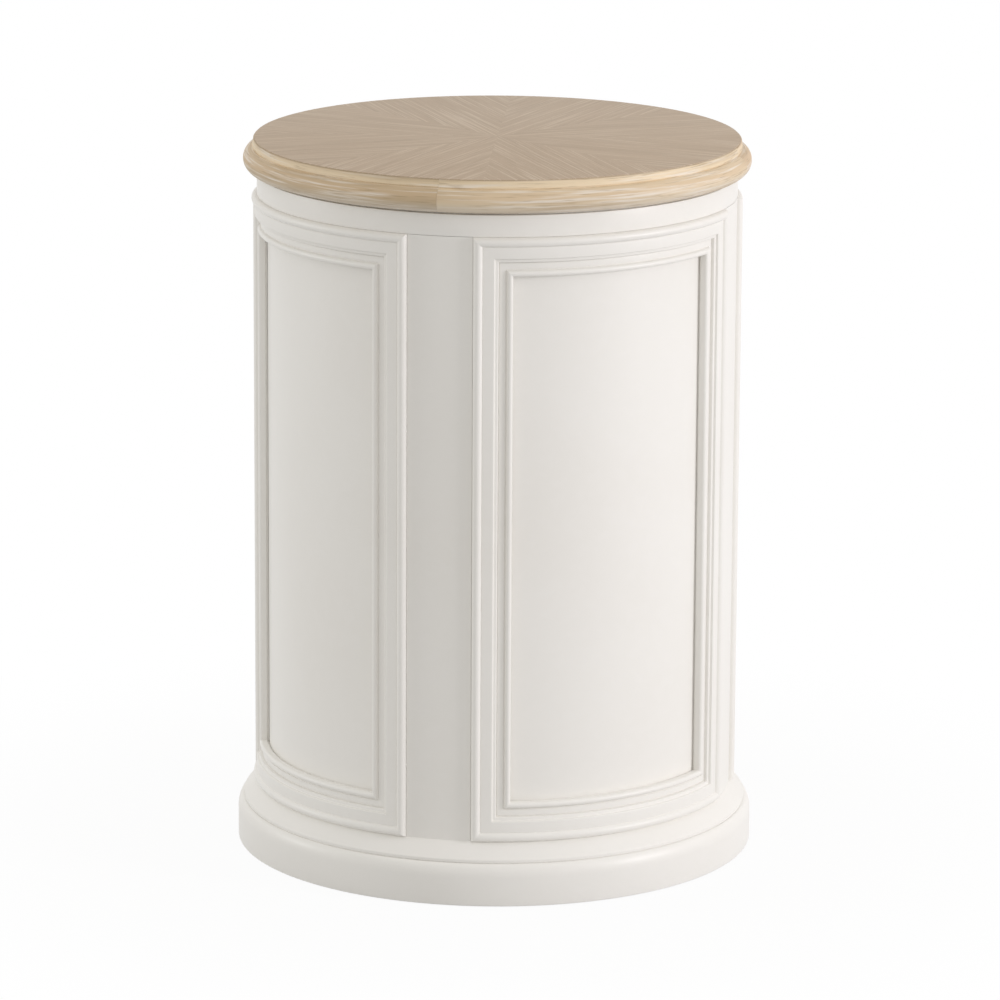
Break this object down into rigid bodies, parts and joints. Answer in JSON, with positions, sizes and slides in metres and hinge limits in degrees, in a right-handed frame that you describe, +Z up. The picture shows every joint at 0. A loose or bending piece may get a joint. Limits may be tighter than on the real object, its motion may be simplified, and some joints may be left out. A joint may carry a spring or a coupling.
{
  "type": "round accent table",
  "caption": "Round drum side table with white moulded panels between flush stiles on a stepped plinth, under a bleached oak top with a sunburst veneer and a bullnose edge.",
  "frame": {"origin": "on the floor, on the axis of the drum", "axes": "+Z up along the axis of the drum; one panel faces -Y"},
  "size_m": [0.4572, 0.4572, 0.6315],
  "materials": {
    "white_lacquer": "satin white lacquer over wood",
    "oak_edging": "bleached and limed solid oak, matt",
    "oak_veneer": "bleached grey-beige oak veneer, matt",
    "core_board": "raw fibreboard",
    "plywood": "raw plywood",
    "softwood": "raw sawn softwood",
    "glide_plastic": "plain moulded plastic"
  },
  "bodies": {
    "root": {"base_cap": "white_lacquer", "floor_glides": "glide_plastic", "frieze_band": "white_lacquer", "glue_block_lower_1": "softwood", "glue_block_lower_2": "softwood", "glue_block_lower_3": "softwood", "glue_block_lower_4": "softwood", "glue_block_upper_1": "softwood", "glue_block_upper_2": "softwood", "glue_block_upper_3": "softwood", "glue_block_upper_4": "softwood", "joint_batten_1": "softwood", "joint_batten_2": "softwood", "joint_batten_3": "softwood", "joint_batten_4": "softwood", "lower_former": "plywood", "panel_1": "white_lacquer", "panel_1_moulding_bottom": "white_lacquer", "panel_1_moulding_left": "white_lacquer", "panel_1_moulding_right": "white_lacquer", "panel_1_moulding_top": "white_lacquer", "panel_2": "white_lacquer", "panel_2_moulding_bottom": "white_lacquer", "panel_2_moulding_left": "white_lacquer", "panel_2_moulding_right": "white_lacquer", "panel_2_moulding_top": "white_lacquer", "panel_3": "white_lacquer", "panel_3_moulding_bottom": "white_lacquer", "panel_3_moulding_left": "white_lacquer", "panel_3_moulding_right": "white_lacquer", "panel_3_moulding_top": "white_lacquer", "panel_4": "white_lacquer", "panel_4_moulding_bottom": "white_lacquer", "panel_4_moulding_left": "white_lacquer", "panel_4_moulding_right": "white_lacquer", "panel_4_moulding_top": "white_lacquer", "plinth_ring": "white_lacquer", "stile_1": "white_lacquer", "stile_2": "white_lacquer", "stile_3": "white_lacquer", "stile_4": "white_lacquer", "top_core": "core_board", "top_edge_1": "oak_edging", "top_edge_2": "oak_edging", "top_edge_3": "oak_edging", "top_edge_4": "oak_edging", "top_veneer_1": "oak_veneer", "top_veneer_2": "oak_veneer", "top_veneer_3": "oak_veneer", "top_veneer_4": "oak_veneer", "top_veneer_5": "oak_veneer", "top_veneer_6": "oak_veneer", "top_veneer_7": "oak_veneer", "top_veneer_8": "oak_veneer", "upper_former": "plywood"}
  },
  "joints": []
}
